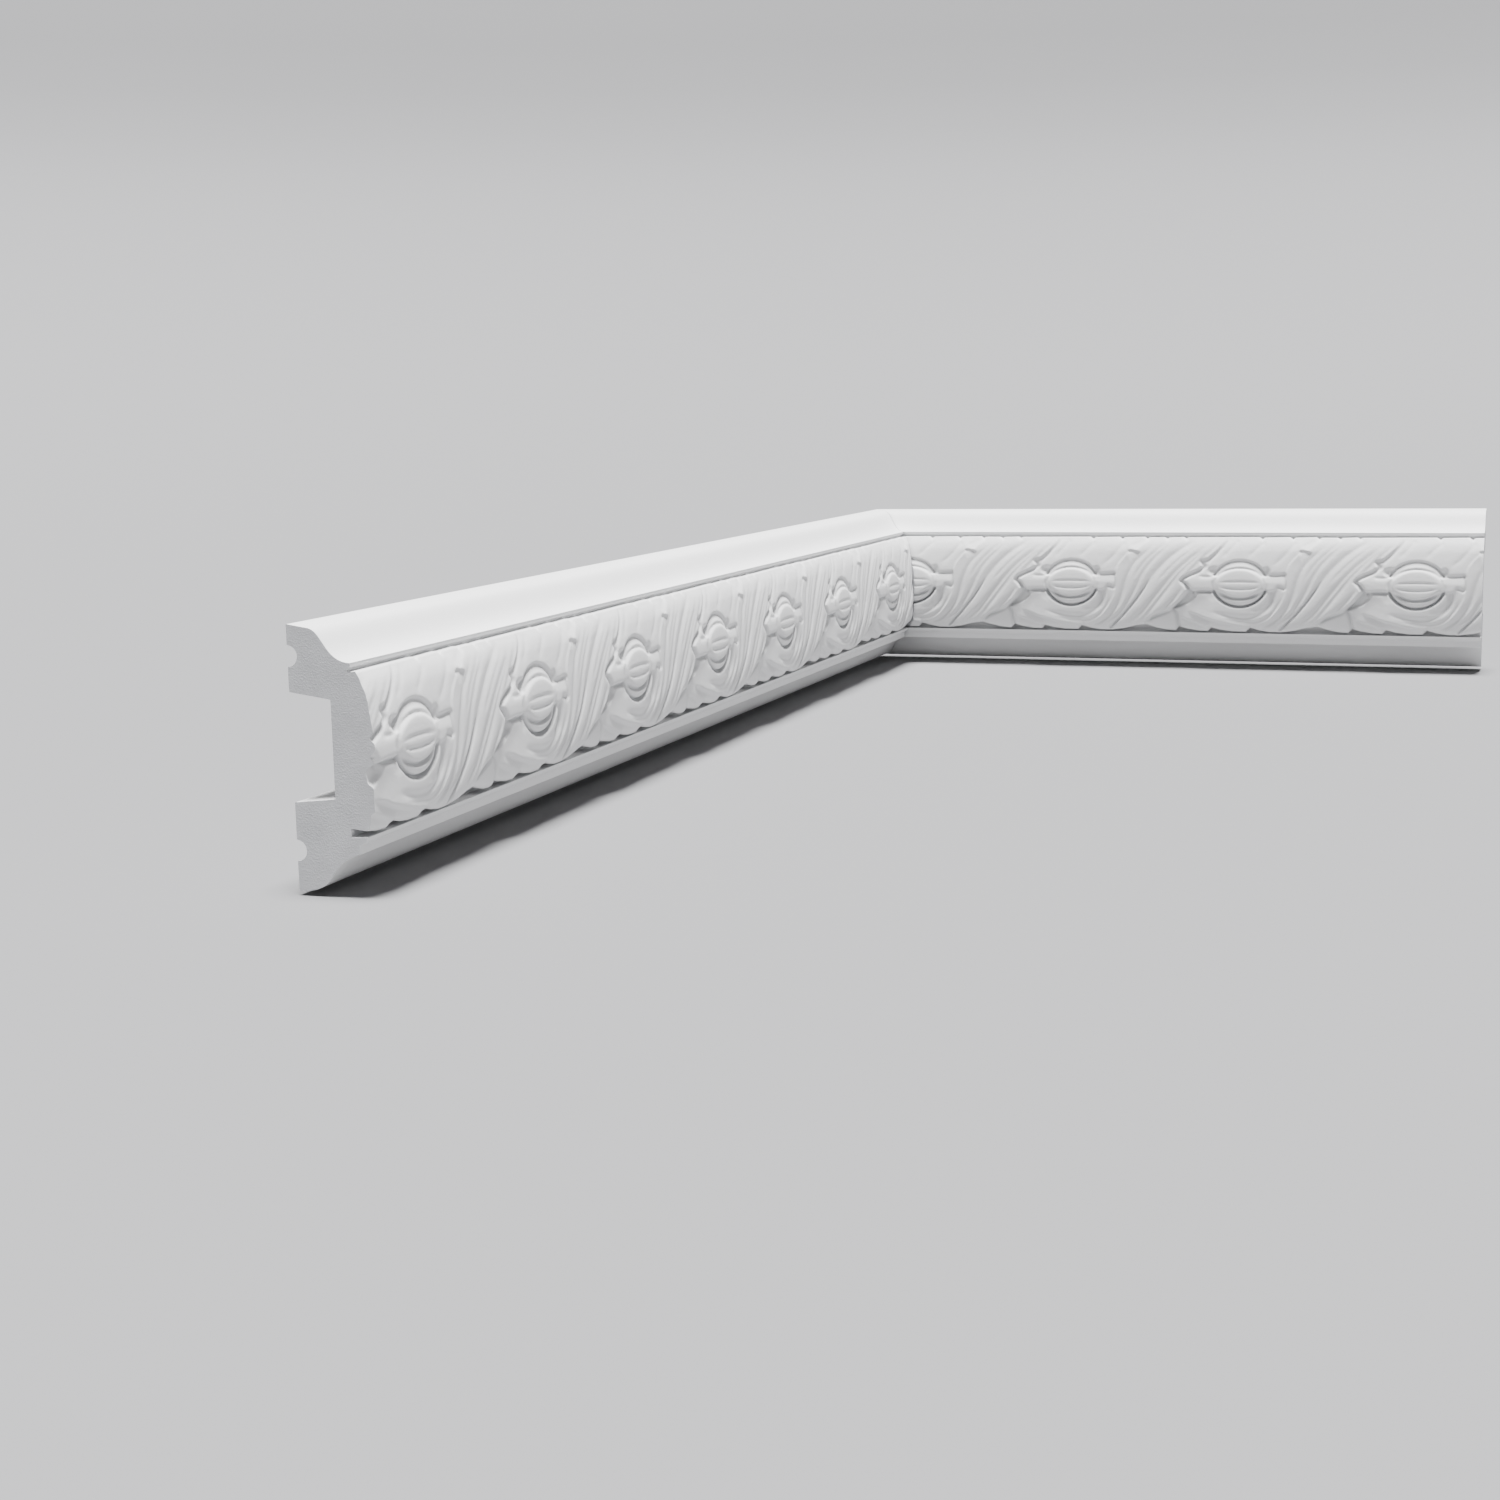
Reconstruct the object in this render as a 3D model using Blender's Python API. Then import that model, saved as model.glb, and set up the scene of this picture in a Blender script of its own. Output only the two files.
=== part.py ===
"""Leaf-and-pod wall moulding in two lengths, mitred at an inside corner.

Sizes are in millimetres and become metres where the vertices are made. A length is drawn
unrolled: "along" runs to the right as one faces the moulding, "height" runs up from its
bottom edge, and "depth" comes out of the wall. The ornament repeats along each length.
"""
import math

import bmesh
import bpy
import numpy as np
from mathutils import Vector

METRES = 0.001

# Overall sizes
HEIGHT = 114.8
LEFT_LENGTH = 884.0
RIGHT_LENGTH = 458.0
REPEAT = 125.0
LEFT_POD = -96.0
RIGHT_POD = 38.0
MITRE_GAP = 0.3
SAW_TOLERANCE = 1e-4
WELD_DISTANCE = 1e-3
SHARP_ANGLE = math.radians(35)

# Plain mouldings, as (depth, height)
CYMA = ((29.6, 98.9), (17.2, 99.3), (17.4, 112.9), (9.5, 113.4))
OGEE = ((2.0, 0.0), (20.5, 0.6), (13.5, 13.2), (30.3, 17.1))
CURVE_STEPS = 10
UPPER_FILLET_DEPTH = 29.6
LOWER_FILLET_TOP = 21.1
LEDGE = ((33.4, 22.9), (34.6, 24.9))
RECESS = (26.5, 24.6)

# Back: two half-round glue grooves, and a channel whose sides taper
GLUE_RADIUS = 4.7
GLUE_HEIGHTS = (101.2, 17.6)
GLUE_STEPS = 6
CHANNEL_MOUTH = (38.5, 85.9)
CHANNEL_FLOOR = (40.6, 83.2)
CHANNEL_DEPTH = 19.7

# The frame's origin is on the widest land of the left length's back
MOUNT_HEIGHT = 0.5 * (GLUE_HEIGHTS[1] + GLUE_RADIUS + CHANNEL_MOUTH[0])
ORIGIN = (0.0, -0.5 * LEFT_LENGTH, MOUNT_HEIGHT)

# Swell of the frieze, as (height, depth)
SWELL = ((22, 34.4), (27, 37.2), (32, 38.5), (40, 39.4), (50, 39.6), (58, 39.3), (66, 38.8),
         (74, 38.0), (82, 36.8), (87, 35.7), (91, 34.2), (96, 31.2))

# Lines of the ornament, as (height, along from the pod's centre)
BAND_EDGE = ((27, -69), (33, -68), (36, -64), (38.5, -58.5), (41, -52.5), (44, -49),
             (48, -44.5), (52, -41), (57, -37), (60.5, -39.3), (63.8, -42.5), (66, -40.5),
             (68.5, -35.5), (71, -30), (74, -26), (78, -27.5), (80, -21.5), (84, -17.5),
             (89, -13.5), (94, -9.5))
BAND_START = ((27, 8), (32, 15), (36, 21), (40, 24.5), (44, 27.5), (48, 30), (52, 32),
              (57, 33.2), (70, 33.5), (75, 35), (80, 38.5), (84, 42.5), (88, 50), (94, 58))
FLUTES = (
    ((27, 17), (32, 24), (38, 31.5), (44, 36), (50, 39.3), (58, 42.8), (66, 45.3), (74, 49.3),
     (82, 56.5), (94, 72)),
    ((27, 28), (32, 33), (38, 39.5), (44, 44.5), (50, 49.3), (58, 54.7), (66, 60), (74, 66.7),
     (82, 75), (94, 94)),
    ((27, 36.5), (32, 41.5), (38, 48), (44, 54), (50, 59.5), (58, 66.5), (66, 74), (74, 82.5),
     (82, 91), (94, 104)),
    ((27, 46), (32, 50), (38, 56.5), (44, 63.5), (50, 71), (58, 79), (66, 84), (74, 94),
     (82, 101), (94, 111)),
)
CRADLE_LEFT = ((27, -44), (33, -45), (40, -46.5), (43.5, -48.5))
EYE_RIGHT = ((43, -49), (47, -38), (52, -31.5), (56, -33.5), (57, -36))

# The fluted band: how its flutes rise from its floor, its rim, and the cut of its main flute
BAND_FLOOR = 0.0
FLUTE_RISE = 0.9
FLUTE_ROUNDNESS = 0.8
BAND_RIM = 0.75
LAST_FLUTE_GAP = 3.0
MAIN_FLUTE = 1
MAIN_FLUTE_CUT = 1.4
MAIN_FLUTE_WIDTH = 1.3

# The leaves: how far the cradle's low end falls back, the lobe, the eye and the band's shadow
LEAF_LIFT = 0.6
CURL_FALL = 2.6
CURL_SPAN = (-48.0, -18.0)
CURL_TOP = (48.0, 58.0)
LOBE_TOP = 43.5
LOBE_SINK = 1.5
EYE_LEVELS = (43.0, 57.5)
EYE_SINK = 4.5
EYE_SLOPE = 2.0
LEAST_WIDTH = 0.5
EDGE_DROP = 1.6
EDGE_DROP_WIDTH = 2.5
EDGE_DROP_FROM = 57.0

# Edges of the leaves: teeth along the bottom, as (along from the pod's centre, height)
BOTTOM_EDGE = ((-69, 30.3), (-62, 28.2), (-55, 26.9), (-47, 26.3), (-44.6, 28.7), (-38, 27.2),
               (-30, 26.3), (-23, 26.3), (-20.4, 28.6), (-14, 27.1), (-5, 26.2), (4.8, 26.2),
               (8, 28.9), (14, 27.2), (22, 26.2), (31, 26.2), (40, 27.4), (48, 29.2))
TOP_EDGE = 95.3

# The pod, its cup, the stalks and the calyx
POD_HEIGHT = 61.8
POD_HALF_LENGTH = 19.2
POD_HALF_HEIGHT = 16.2
POD_LIFT = 1.6
POD_RISE = 0.6
POD_FLATNESS = 4.0
CUP_DEPTH = 35.0
CUP_RING = (1.0, 1.04, 1.16)
STALK_HALF_HEIGHT = 5.4
STALK_SHARE = 0.7
CALYX_LIFT = 1.3
CALYX_ROUND = 0.5
CALYX_TIP = (-42.0, 64.0)
CALYX_TAPER = 9.0
CALYX_TIP_FALL = 0.8
LEAST_TAPER = 0.05
FLARE = 1.2
FLARE_PLACE = -33.0
FLARE_WIDTH = 3.0
TONGUE_LIFT = 1.0
TONGUE_ROUND = 0.4
TONGUE_SHIFT = 0.7
TONGUE_END = 33.3

# The hook of the upper leaf, over the start of the band
HOOK = (46.0, 83.0)
HOOK_RISE = 0.7
HOOK_REACH = (9.0, 6.0)

# Rows of the frieze's mesh, bottom to top, and how far an edge's scallops pull them
ROWS = (27, 30, 34, 39, 43, 45.4, 47.7, 52, 56, 57.6, 66.4, 68.4, 73.5, 77, 78.8, 81.5, 86, 89.5,
        94)
EDGE_PULL = 6.0
FIRST_ROW = ROWS[0]
LAST_ROW = ROWS[-1]
BOTTOM_ROUNDING = 1.2
UNDERSIDE_RISE = 0.8
TOP_GROOVE_RISE = 0.9

# Places of the mesh's columns, measured from the pod's centre or from a line of the ornament
WALL_WIDTH = 0.9
RIM_WIDTH = 0.6
RING_WIDTH = 2.6
POD_FACE_SHARE = 0.9
NARROWING = 1.12
LEAST_NARROW = 0.12
CRADLE_TOP = 43.0
UPPER_LEAF = (81.0, 89.0)
LOW_COLUMNS = (-57, -46.8, -44.6, -33.5, -22.8, -20.4, -8, 4.8, 6.4, 7.2)

# Finish
PRIMER_COLOUR = (0.80, 0.80, 0.79, 1.0)
PRIMER_ROUGHNESS = 0.62


def bezier(points, steps):
    """Points on a cubic curve between its first and last point."""
    p = np.array(points, float)
    t = np.linspace(0.0, 1.0, steps + 1)[:, None]
    s = 1.0 - t
    curve = s ** 3 * p[0] + 3 * s * s * t * p[1] + 3 * s * t * t * p[2] + t ** 3 * p[3]
    return [tuple(q) for q in curve]


def smooth_curve(x, points):
    """The value at x of a smooth curve through a few points."""
    px, py = np.array(points, float).T
    slope = np.gradient(py, px)
    k = np.clip(np.searchsorted(px, x) - 1, 0, len(px) - 2)
    step = px[k + 1] - px[k]
    t = np.clip((x - px[k]) / step, 0.0, 1.0)
    start = py[k] * (1 + 2 * t) * (1 - t) ** 2 + slope[k] * step * t * (1 - t) ** 2
    end = py[k + 1] * t * t * (3 - 2 * t) - slope[k + 1] * step * t * t * (1 - t)
    return start + end


def cornered_line(x, points, period=None):
    """The value at x of a line with sharp corners at its points."""
    px, py = np.array(points, float).T
    return np.interp(x, px, py, period=period)


def ramp(low, high, x):
    """Rise smoothly from 0 at low to 1 at high."""
    t = np.clip((x - low) / (high - low), 0.0, 1.0)
    return t * t * (3.0 - 2.0 * t)


def band_lines(height):
    """The band's own lines at a height: its start, its flutes and its far edge."""
    lines = [smooth_curve(height, BAND_START)]
    lines += [smooth_curve(height, flute) for flute in FLUTES]
    far_edge = cornered_line(height, BAND_EDGE) + REPEAT
    lines[-1] = np.minimum(lines[-1], far_edge - LAST_FLUTE_GAP)
    lines.append(far_edge)
    return lines


def band_depth(along, height):
    """The fluted band that sweeps up between two pods."""
    lines = band_lines(height)
    rise = np.zeros_like(along)
    for left, right in zip(lines[:-1], lines[1:]):
        phase = np.clip((along - left) / (right - left), 0.0, 1.0)
        rise = np.maximum(rise, np.sin(np.pi * phase) ** FLUTE_ROUNDNESS)
    past_last = (along - lines[-2]) / (lines[-1] - lines[-2])
    rise = np.where(past_last > 0.5, np.maximum(rise, BAND_RIM), rise)
    main = (along - lines[1 + MAIN_FLUTE]) / MAIN_FLUTE_WIDTH
    cut = MAIN_FLUTE_CUT * np.exp(-main ** 2)
    return smooth_curve(height, SWELL) + BAND_FLOOR + FLUTE_RISE * rise - cut


def leaf_depth(along, height):
    """The leaves round the pod: the upper leaf, the cradling leaf and the lobe beside it."""
    edge = cornered_line(height, BAND_EDGE)
    ground = smooth_curve(height, SWELL)
    low_end = (1.0 - ramp(*CURL_SPAN, along)) * (1.0 - ramp(*CURL_TOP, height))
    depth = ground + LEAF_LIFT - CURL_FALL * low_end
    lobe = (height < LOBE_TOP) & (along < cornered_line(height, CRADLE_LEFT))
    depth = np.where(lobe, ground - LOBE_SINK, depth)
    eye_width = np.maximum(cornered_line(height, EYE_RIGHT) - edge, LEAST_WIDTH)
    in_eye = (height > EYE_LEVELS[0]) & (height < EYE_LEVELS[1]) & (along < edge + eye_width)
    eye_floor = ground - EYE_SINK + EYE_SLOPE * (along - edge) / eye_width
    depth = np.where(in_eye, eye_floor, depth)
    drop = EDGE_DROP * np.exp(-np.maximum(along - edge, 0.0) / EDGE_DROP_WIDTH)
    return depth - np.where(height > EDGE_DROP_FROM, drop, 0.0)


def stalk_depth(along, height):
    """The stalk on each side of the pod; the left one opens into a pointed calyx."""
    ground = smooth_curve(height, SWELL)
    taper = np.clip((along - CALYX_TIP[0]) / CALYX_TAPER, LEAST_TAPER, 1.0)
    centre = POD_HEIGHT + (CALYX_TIP[1] - POD_HEIGHT) * (1.0 - taper)
    flare = FLARE * np.exp(-((along - FLARE_PLACE) / FLARE_WIDTH) ** 2)
    across = (height - centre) / (STALK_HALF_HEIGHT * taper + flare)
    on_calyx = (along < 0.0) & (along > CALYX_TIP[0]) & (abs(across) < 1.0)
    calyx = ground + CALYX_LIFT - CALYX_ROUND * across ** 2 - CALYX_TIP_FALL * (1.0 - taper)
    across = (height - POD_HEIGHT - TONGUE_SHIFT) / STALK_HALF_HEIGHT
    on_tongue = (along > 0.0) & (along < TONGUE_END) & (abs(across) < 1.0)
    tongue = ground + TONGUE_LIFT - TONGUE_ROUND * across ** 2
    return np.maximum(np.where(on_calyx, calyx, 0.0), np.where(on_tongue, tongue, 0.0))


def relief_depth(along, height):
    """Depth of the frieze's face at a place measured from the nearest pod's centre."""
    edge = cornered_line(height, BAND_EDGE)
    along = edge + np.mod(along - edge, REPEAT)
    depth = np.maximum(leaf_depth(along, height), stalk_depth(along, height))
    in_band = along > smooth_curve(height, BAND_START)
    depth = np.where(in_band, band_depth(along, height), depth)
    from_hook = np.hypot((along - HOOK[0]) / HOOK_REACH[0], (height - HOOK[1]) / HOOK_REACH[1])
    depth = depth + HOOK_RISE * np.exp(-from_hook ** 2)
    reach = np.hypot(along / POD_HALF_LENGTH, (height - POD_HEIGHT) / POD_HALF_HEIGHT)
    cup = CUP_DEPTH + (depth - CUP_DEPTH) * ramp(CUP_RING[1], CUP_RING[2], reach)
    near_middle = abs(height - POD_HEIGHT) < STALK_SHARE * STALK_HALF_HEIGHT
    on_stalk = near_middle & (reach > CUP_RING[0])
    depth = np.where((reach < CUP_RING[2]) & ~on_stalk, cup, depth)
    dome = POD_RISE * np.sqrt(np.clip(1.0 - reach ** POD_FLATNESS, 0.0, 1.0))
    pod = smooth_curve(height, SWELL) + POD_LIFT + dome
    return np.where(reach < CUP_RING[0], pod, depth)


def column_places(height):
    """Where the mesh's columns stand at one height of one repeat, following its lines."""
    edge = float(cornered_line(height, BAND_EDGE))
    lines = [float(line) for line in band_lines(np.float64(height))]
    off_centre = (height - POD_HEIGHT) / (NARROWING * POD_HALF_HEIGHT)
    inner = POD_HALF_LENGTH * math.sqrt(max(1.0 - off_centre ** 2, LEAST_NARROW))
    outer = inner + RING_WIDTH
    face = POD_FACE_SHARE * inner
    leaf = [edge + WALL_WIDTH, edge + (-outer - edge) / 3, edge + (-outer - edge) * 2 / 3, -outer,
            -inner, -face, 0.0, face, inner, outer, 0.5 * (outer + lines[0])]
    upper = np.linspace(edge + WALL_WIDTH, lines[0], len(leaf) + 1)[:-1]
    if height < CRADLE_TOP:
        share = float(ramp(CRADLE_TOP, FIRST_ROW, height))
        low = [edge + WALL_WIDTH, *LOW_COLUMNS]
        leaf = [a + (b - a) * share for a, b in zip(leaf, low)]
    elif height > UPPER_LEAF[0]:
        share = float(ramp(*UPPER_LEAF, height))
        leaf = [a + (b - a) * share for a, b in zip(leaf, upper)]
    band = [lines[0]]
    for left, right in zip(lines[:-1], lines[1:]):
        band += [0.5 * (left + right), right]
    band[-1] = lines[-1] - RIM_WIDTH
    return np.array(list(leaf) + band)


def frieze_grid(pod, first, last):
    """Rows of (along, depth, height) points over every repeat that a length touches."""
    repeats = np.arange(math.floor((first - pod) / REPEAT) - 1, math.ceil((last - pod) / REPEAT) + 2)
    rows = []
    for row in ROWS:
        places = column_places(row)
        along = (places[None, :] + repeats[:, None] * REPEAT).ravel()
        bottom = cornered_line(along, BOTTOM_EDGE, REPEAT)
        near_bottom = max(0.0, 1.0 - (row - FIRST_ROW) / EDGE_PULL)
        near_top = max(0.0, 1.0 - (LAST_ROW - row) / EDGE_PULL)
        height = row + (bottom - FIRST_ROW) * near_bottom + (TOP_EDGE - LAST_ROW) * near_top
        depth = relief_depth(along, height)
        rows.append(np.stack([along + pod, depth, height], axis=1))
    rows[0][:, 1] -= BOTTOM_ROUNDING
    underside = rows[0] + np.array([0.0, 0.0, UNDERSIDE_RISE])
    underside[:, 1] = RECESS[0]
    top_groove = rows[-1] + np.array([0.0, 0.0, TOP_GROOVE_RISE])
    top_groove[:, 1] = UPPER_FILLET_DEPTH
    return [underside] + rows + [top_groove]


def plain_profile():
    """The plain part of the section, from the frieze's top round the back to its bottom."""
    points = bezier(CYMA, CURVE_STEPS)
    points.append((0.0, HEIGHT))
    for centre in GLUE_HEIGHTS:
        if centre < CHANNEL_MOUTH[0]:
            points += [(0.0, CHANNEL_MOUTH[1]), (CHANNEL_DEPTH, CHANNEL_FLOOR[1])]
            points += [(CHANNEL_DEPTH, CHANNEL_FLOOR[0]), (0.0, CHANNEL_MOUTH[0])]
        for step in range(GLUE_STEPS + 1):
            angle = math.pi * step / GLUE_STEPS
            points.append((GLUE_RADIUS * math.sin(angle), centre + GLUE_RADIUS * math.cos(angle)))
    points.append((0.0, 0.0))
    points += bezier(OGEE, CURVE_STEPS)
    points.append((OGEE[3][0], LOWER_FILLET_TOP))
    points += list(LEDGE)
    points.append(RECESS)
    return points


def place_left(along, depth, height):
    """The left length runs along Y, with its back on the plane X = 0."""
    return Vector((depth, along, height))


def place_right(along, depth, height):
    """The right length runs along X, with its back on the plane Y = 0."""
    return Vector((along, -depth, height))


def saw(mesh, point, normal):
    """Cut off what lies beyond a plane, and close the sawn end with one flat face."""
    geometry = mesh.verts[:] + mesh.edges[:] + mesh.faces[:]
    cut = bmesh.ops.bisect_plane(mesh, geom=geometry, dist=SAW_TOLERANCE, plane_co=point,
                                 plane_no=normal, clear_outer=True)
    rim = [item for item in cut["geom_cut"] if isinstance(item, bmesh.types.BMEdge)]
    bmesh.ops.holes_fill(mesh, edges=rim, sides=0)


def build_length(name, pod, first, last, place, saws, material):
    """Run the section past both ends, saw it to length and name it."""
    mesh = bmesh.new()
    grid = frieze_grid(pod, first, last)
    rows = [[mesh.verts.new(place(*point)) for point in row] for row in grid]
    ends = (min(row[0][0] for row in grid), max(row[-1][0] for row in grid))
    profile = [[mesh.verts.new(place(end, *point)) for end in ends] for point in plain_profile()]
    for lower, upper in zip(rows[:-1], rows[1:]):
        for k in range(len(lower) - 1):
            mesh.faces.new((lower[k], lower[k + 1], upper[k + 1], upper[k]))
    for here, there in zip(profile[:-1], profile[1:]):
        mesh.faces.new((here[0], here[1], there[1], there[0]))
    mesh.faces.new(rows[-1] + [profile[0][1], profile[0][0]])
    mesh.faces.new(rows[0][::-1] + [profile[-1][0], profile[-1][1]])
    for point, normal in saws:
        saw(mesh, Vector(point), Vector(normal).normalized())
    bmesh.ops.remove_doubles(mesh, verts=mesh.verts[:], dist=WELD_DISTANCE)
    bmesh.ops.triangulate(mesh, faces=mesh.faces[:])
    bmesh.ops.recalc_face_normals(mesh, faces=mesh.faces[:])
    bmesh.ops.translate(mesh, verts=mesh.verts[:], vec=-Vector(ORIGIN))
    bmesh.ops.scale(mesh, verts=mesh.verts[:], vec=(METRES, METRES, METRES))
    data = bpy.data.meshes.new(name)
    mesh.to_mesh(data)
    mesh.free()
    data.materials.append(material)
    data.shade_smooth()
    data.set_sharp_from_angle(angle=SHARP_ANGLE)
    bpy.context.scene.collection.objects.link(bpy.data.objects.new(name, data))


def primed_white():
    """Factory-primed foam: a matt, very slightly warm white."""
    material = bpy.data.materials.new("primed_white")
    material.use_nodes = True
    shader = material.node_tree.nodes["Principled BSDF"]
    shader.inputs["Base Color"].default_value = PRIMER_COLOUR
    shader.inputs["Roughness"].default_value = PRIMER_ROUGHNESS
    shader.inputs["Metallic"].default_value = 0.0
    return material


def main():
    for item in list(bpy.data.objects):
        bpy.data.objects.remove(item, do_unlink=True)
    primer = primed_white()
    half_gap = 0.5 * MITRE_GAP * math.sqrt(2.0)
    left_saws = (((0, -LEFT_LENGTH, 0), (0, -1, 0)), ((-half_gap, 0, 0), (1, 1, 0)))
    right_saws = (((RIGHT_LENGTH, 0, 0), (1, 0, 0)), ((half_gap, 0, 0), (-1, -1, 0)))
    build_length("left_length", LEFT_POD, -LEFT_LENGTH, 0.0, place_left, left_saws, primer)
    build_length("right_length", RIGHT_POD, 0.0, RIGHT_LENGTH, place_right, right_saws, primer)


main()
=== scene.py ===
# %% [markdown]
# Leaf-and-pod wall moulding, dressed for its picture
#
# The real moulding is cast in foam and primed white. Two lengths of it meet at an inside corner,
# on a mitre, and each carries the same ornament every 125 mm: a ribbed pod on its stalk, a leaf
# that cradles it, and a fluted band that sweeps up to the next pod. The CAD lengths that come in
# as the frame have the right sizes and main forms with few faces. This lesson carves the finer
# relief in new meshes of the same size, primes them, and sets up the light and the camera.

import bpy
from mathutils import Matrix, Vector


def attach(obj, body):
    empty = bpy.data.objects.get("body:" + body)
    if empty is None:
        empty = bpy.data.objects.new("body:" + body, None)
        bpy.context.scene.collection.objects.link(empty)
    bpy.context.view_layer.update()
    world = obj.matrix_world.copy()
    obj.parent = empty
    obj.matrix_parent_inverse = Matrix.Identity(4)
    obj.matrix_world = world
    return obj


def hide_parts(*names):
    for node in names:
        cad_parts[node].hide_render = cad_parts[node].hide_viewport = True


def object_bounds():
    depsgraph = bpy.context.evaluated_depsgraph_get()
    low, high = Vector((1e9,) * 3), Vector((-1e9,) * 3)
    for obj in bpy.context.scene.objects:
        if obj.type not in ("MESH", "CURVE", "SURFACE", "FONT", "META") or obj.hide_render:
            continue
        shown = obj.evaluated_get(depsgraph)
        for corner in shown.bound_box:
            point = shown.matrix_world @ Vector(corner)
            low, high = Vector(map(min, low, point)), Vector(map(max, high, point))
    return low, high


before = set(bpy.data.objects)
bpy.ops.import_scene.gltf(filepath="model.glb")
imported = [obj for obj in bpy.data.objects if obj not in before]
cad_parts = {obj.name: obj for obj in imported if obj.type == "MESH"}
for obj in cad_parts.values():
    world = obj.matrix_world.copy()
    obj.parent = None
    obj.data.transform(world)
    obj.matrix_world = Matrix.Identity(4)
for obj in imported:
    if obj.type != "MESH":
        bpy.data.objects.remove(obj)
cad_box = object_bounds()
print("CAD box in metres:", [[round(value, 4) for value in corner] for corner in cad_box])

# %% [markdown]
# Sizes shared by both lengths
#
# Everything is drawn in millimetres and unrolled flat, as a carver would draw it on a board:
# "along" runs to the right as one faces the moulding, "height" runs up from its bottom edge and
# "depth" comes out of the wall. The numbers repeat those of the CAD, so a dressed length fills
# the place of its plain one exactly.

# %% Sizes of the moulding
import math

import bmesh
import bpy
import numpy as np
from mathutils import Matrix, Vector

METRES = 0.001
HEIGHT = 114.8
LEFT_LENGTH = 884.0
RIGHT_LENGTH = 458.0
REPEAT = 125.0
LEFT_POD = -96.0
RIGHT_POD = 38.0
MITRE_GAP = 0.3
ORIGIN = Vector((0.0, -442.0, 30.4))
print("whole repeats in the two lengths:", LEFT_LENGTH // REPEAT, RIGHT_LENGTH // REPEAT)

# %% [markdown]
# Drawing with few points
#
# A carver sets out a line by a few points and lets the curve run through them. These helpers do
# that: a value that changes smoothly with height, a line with sharp corners, and a freehand curve.
# They work on whole arrays at once, so a hundred thousand points take a moment.


# %% Helpers for lines and curves
def smooth_value(x, points):
    """The value at x of a smooth curve through a few points."""
    px, py = np.array(points, float).T
    slope = np.gradient(py, px)
    k = np.clip(np.searchsorted(px, x) - 1, 0, len(px) - 2)
    gap = px[k + 1] - px[k]
    t = np.clip((x - px[k]) / gap, 0.0, 1.0)
    start = py[k] * (1 + 2 * t) * (1 - t) ** 2 + slope[k] * gap * t * (1 - t) ** 2
    end = py[k + 1] * t * t * (3 - 2 * t) - slope[k + 1] * gap * t * t * (1 - t)
    return start + end


def cornered_value(x, points, period=None):
    """The value at x of a line with sharp corners at its points."""
    px, py = np.array(points, float).T
    return np.interp(x, px, py, period=period)


def ramp(low, high, x):
    """Rise smoothly from 0 at low to 1 at high."""
    t = np.clip((x - low) / (high - low), 0.0, 1.0)
    return t * t * (3.0 - 2.0 * t)


def freehand(points, steps=6):
    """Close points on a smooth line through a few drawn ones."""
    drawn = np.array(points, float)
    before = 2 * drawn[:1] - drawn[1:2]
    after = 2 * drawn[-1:] - drawn[-2:-1]
    p = np.vstack([before, drawn, after])
    t = np.linspace(0.0, 1.0, steps, endpoint=False)[:, None]
    parts = []
    for a, b, c, d in zip(p[:-3], p[1:-2], p[2:-1], p[3:]):
        bend = (2 * a - 5 * b + 4 * c - d) * t * t + (3 * b - a - 3 * c + d) * t ** 3
        parts.append(0.5 * (2 * b + (c - a) * t + bend))
    return np.vstack(parts + [drawn[-1:]])


print("points on a freehand line of three:", len(freehand(((0, 0), (5, 3), (9, 9)))))

# %% [markdown]
# Gouge and edge
#
# Nearly all of the relief is made with two tools. A gouge leaves a groove along a line. An edge is
# where one leaf lies over another, so the surface is high on one side and low on the other. Both
# need to know how far each point of the surface is from the line, and on which side. The ornament
# repeats, so the distance is measured round the repeat, as on a roller. A gouge's cut is given by
# four numbers: how deep, how wide, and over which share of its line it starts and runs out.


# %% Distance to a drawn line
def to_nearest_copy(along, middle):
    """Move along by whole repeats until it is within half a repeat of the middle."""
    return middle + np.mod(along - middle + 0.5 * REPEAT, REPEAT) - 0.5 * REPEAT


def from_line(along, height, line):
    """Distance from a line, positive on its left as it is drawn, and the share of it passed."""
    u = to_nearest_copy(along, line[:, 0].mean())
    start = line[:-1]
    run = np.diff(line, axis=0)
    squared = (run ** 2).sum(axis=1)
    du = u[..., None] - start[:, 0]
    dz = height[..., None] - start[:, 1]
    share = np.clip((du * run[:, 0] + dz * run[:, 1]) / squared, 0.0, 1.0)
    apart = np.hypot(du - share * run[:, 0], dz - share * run[:, 1])
    pick = apart.argmin(axis=-1)[..., None]
    side = np.take_along_axis(run[:, 0] * dz - run[:, 1] * du, pick, -1)[..., 0]
    apart = np.take_along_axis(apart, pick, -1)[..., 0]
    share = np.take_along_axis(share, pick, -1)[..., 0]
    reached = np.concatenate([[0.0], np.cumsum(np.sqrt(squared))])
    passed = (reached[pick[..., 0]] + share * np.sqrt(squared)[pick[..., 0]]) / reached[-1]
    return np.where(side >= 0.0, apart, -apart), passed


def fade(passed, first, last):
    """1 along a line, falling to 0 over its first and last share."""
    start = ramp(0.0, first, passed) if first else 1.0
    end = ramp(0.0, last, 1.0 - passed) if last else 1.0
    return start * end


slant = np.array([(0.0, 50.0), (30.0, 90.0)])
print("from a slanting line to a point:", from_line(np.array([0.0]), np.array([75.0]), slant)[0])


# %% Gouge, edge and outline
GROOVE_POWER = 1.4


def gouge(along, height, points, deep, wide, first, last):
    """How much a gouge takes away along a line."""
    apart, passed = from_line(along, height, freehand(points))
    return deep * np.exp(-(np.abs(apart) / wide) ** GROOVE_POWER) * fade(passed, first, last)


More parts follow.
